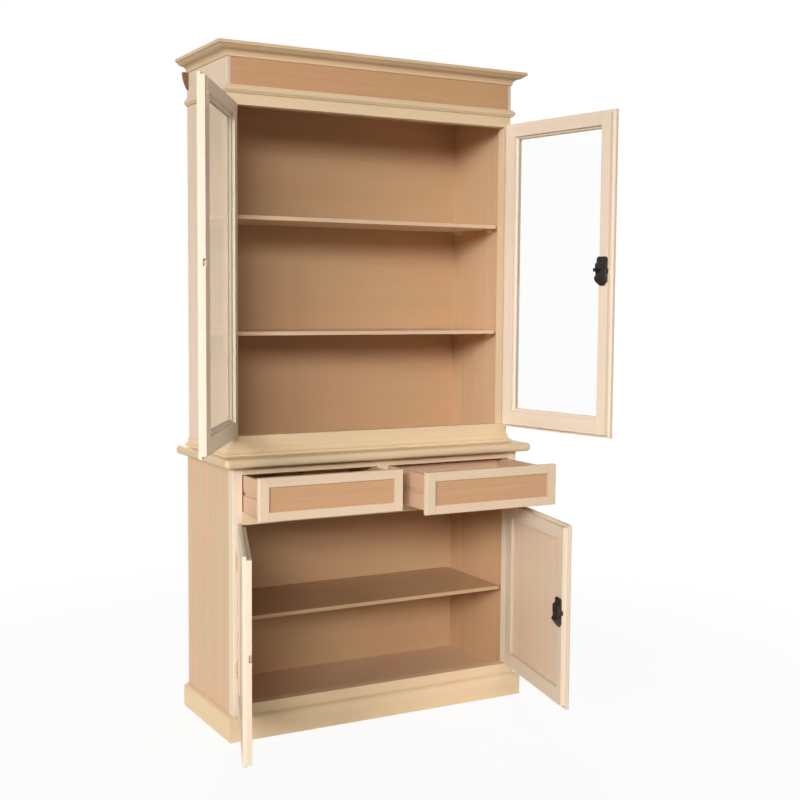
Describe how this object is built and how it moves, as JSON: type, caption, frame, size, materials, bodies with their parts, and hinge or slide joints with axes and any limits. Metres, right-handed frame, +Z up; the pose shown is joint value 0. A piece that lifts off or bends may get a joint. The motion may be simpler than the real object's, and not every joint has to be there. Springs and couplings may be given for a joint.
{
  "type": "china cabinet",
  "caption": "Tall free-standing wooden cabinet: glazed upper case with shelves over a lower case with drawers and a panelled cupboard, doors open.",
  "frame": {"origin": "on the floor, under the centre of the plinth's footprint", "axes": "+Z up, -Y towards the front, +X to the right of the cabinet's own front as seen by a person facing it"},
  "size_m": [1.3332, 0.8852, 2.107],
  "materials": {
    "cream_wood": "bare planed pale timber",
    "pale_panel_wood": "bare planed pale timber, pinkish",
    "tan_wood": "bare tan board",
    "inner_wood": "bare tan board, inside",
    "clear_glass": "clear",
    "black_iron": "black satin",
    "bright_steel": "bright"
  },
  "bodies": {
    "carcass": {"astragal": "cream_wood", "base_moulding": "cream_wood", "cornice": "cream_wood", "counter": "cream_wood", "drawer_divider": "cream_wood", "drawer_partition": "inner_wood", "drawer_runners": "inner_wood", "dust_board": "inner_wood", "frieze_board": "tan_wood", "frieze_sides": "cream_wood", "hinge_frame_halves": "bright_steel", "lower_back": "inner_wood", "lower_floor": "inner_wood", "lower_rails": "cream_wood", "lower_shelf": "inner_wood", "lower_side_left": "tan_wood", "lower_side_right": "tan_wood", "lower_stiles": "cream_wood", "plinth_bearers": "inner_wood", "plinth_frame": "cream_wood", "shelf_pegs": "inner_wood", "upper_back": "inner_wood", "upper_floor": "inner_wood", "upper_rails": "cream_wood", "upper_shelves": "inner_wood", "upper_side_left": "pale_panel_wood", "upper_side_right": "pale_panel_wood", "upper_stiles": "cream_wood", "upper_top": "inner_wood"},
    "upper_left_door": {"upper_left_bolt_plates": "bright_steel", "upper_left_door_frame": "cream_wood", "upper_left_door_glass": "clear_glass", "upper_left_door_leaves": "bright_steel"},
    "upper_right_door": {"upper_right_door_frame": "cream_wood", "upper_right_door_glass": "clear_glass", "upper_right_door_leaves": "bright_steel", "upper_right_lock": "black_iron"},
    "lower_left_door": {"lower_left_bolt_plates": "bright_steel", "lower_left_door_frame": "cream_wood", "lower_left_door_leaves": "bright_steel", "lower_left_door_panel": "tan_wood"},
    "lower_right_door": {"lower_right_door_frame": "cream_wood", "lower_right_door_leaves": "bright_steel", "lower_right_door_panel": "tan_wood", "lower_right_lock": "black_iron"},
    "upper_left_top_bolt": {"upper_left_top_bolt": "bright_steel"},
    "upper_left_bottom_bolt": {"upper_left_bottom_bolt": "bright_steel"},
    "lower_left_top_bolt": {"lower_left_top_bolt": "bright_steel"},
    "lower_left_bottom_bolt": {"lower_left_bottom_bolt": "bright_steel"},
    "upper_right_lock_bolt": {"upper_right_lock_bolt": "bright_steel"},
    "lower_right_lock_bolt": {"lower_right_lock_bolt": "bright_steel"},
    "left_drawer": {"left_drawer_box": "inner_wood", "left_drawer_front_frame": "cream_wood", "left_drawer_front_panel": "tan_wood"},
    "right_drawer": {"right_drawer_box": "inner_wood", "right_drawer_front_frame": "cream_wood", "right_drawer_front_panel": "tan_wood"}
  },
  "joints": [
    {"name": "upper_left_hinge", "type": "hinge", "parent": "carcass", "child": "upper_left_door", "pos_m": [-0.492, -0.144, 1.4285], "axis": [0, 0, -1], "range_deg": [-121.3, 2.7]},
    {"name": "upper_right_hinge", "type": "hinge", "parent": "carcass", "child": "upper_right_door", "pos_m": [0.492, -0.144, 1.4285], "axis": [0, 0, 1], "range_deg": [-99.5, 24.5]},
    {"name": "lower_left_hinge", "type": "hinge", "parent": "carcass", "child": "lower_left_door", "pos_m": [-0.492, -0.196, 0.386], "axis": [0, 0, -1], "range_deg": [-110.2, 13.8]},
    {"name": "lower_right_hinge", "type": "hinge", "parent": "carcass", "child": "lower_right_door", "pos_m": [0.492, -0.196, 0.386], "axis": [0, 0, 1], "range_deg": [-77.5, 46.5]},
    {"name": "left_drawer_slide", "type": "slide", "parent": "carcass", "child": "left_drawer", "axis": [0, -1, 0], "range_m": [-0.136, 0.126]},
    {"name": "right_drawer_slide", "type": "slide", "parent": "carcass", "child": "right_drawer", "axis": [0, -1, 0], "range_m": [-0.243, 0.019]},
    {"name": "upper_left_top_bolt_slide", "type": "slide", "parent": "upper_left_door", "child": "upper_left_top_bolt", "axis": [0, 0, 1], "range_m": [0, 0.012]},
    {"name": "upper_left_bottom_bolt_slide", "type": "slide", "parent": "upper_left_door", "child": "upper_left_bottom_bolt", "axis": [0, 0, -1], "range_m": [0, 0.012]},
    {"name": "lower_left_top_bolt_slide", "type": "slide", "parent": "lower_left_door", "child": "lower_left_top_bolt", "axis": [0, 0, 1], "range_m": [0, 0.012]},
    {"name": "lower_left_bottom_bolt_slide", "type": "slide", "parent": "lower_left_door", "child": "lower_left_bottom_bolt", "axis": [0, 0, -1], "range_m": [0, 0.012]},
    {"name": "upper_right_lock_bolt_slide", "type": "slide", "parent": "upper_right_door", "child": "upper_right_lock_bolt", "axis": [0.165, -0.9863, 0], "range_m": [0, 0.01]},
    {"name": "lower_right_lock_bolt_slide", "type": "slide", "parent": "lower_right_door", "child": "lower_right_lock_bolt", "axis": [-0.2164, -0.9763, 0], "range_m": [0, 0.01]}
  ]
}
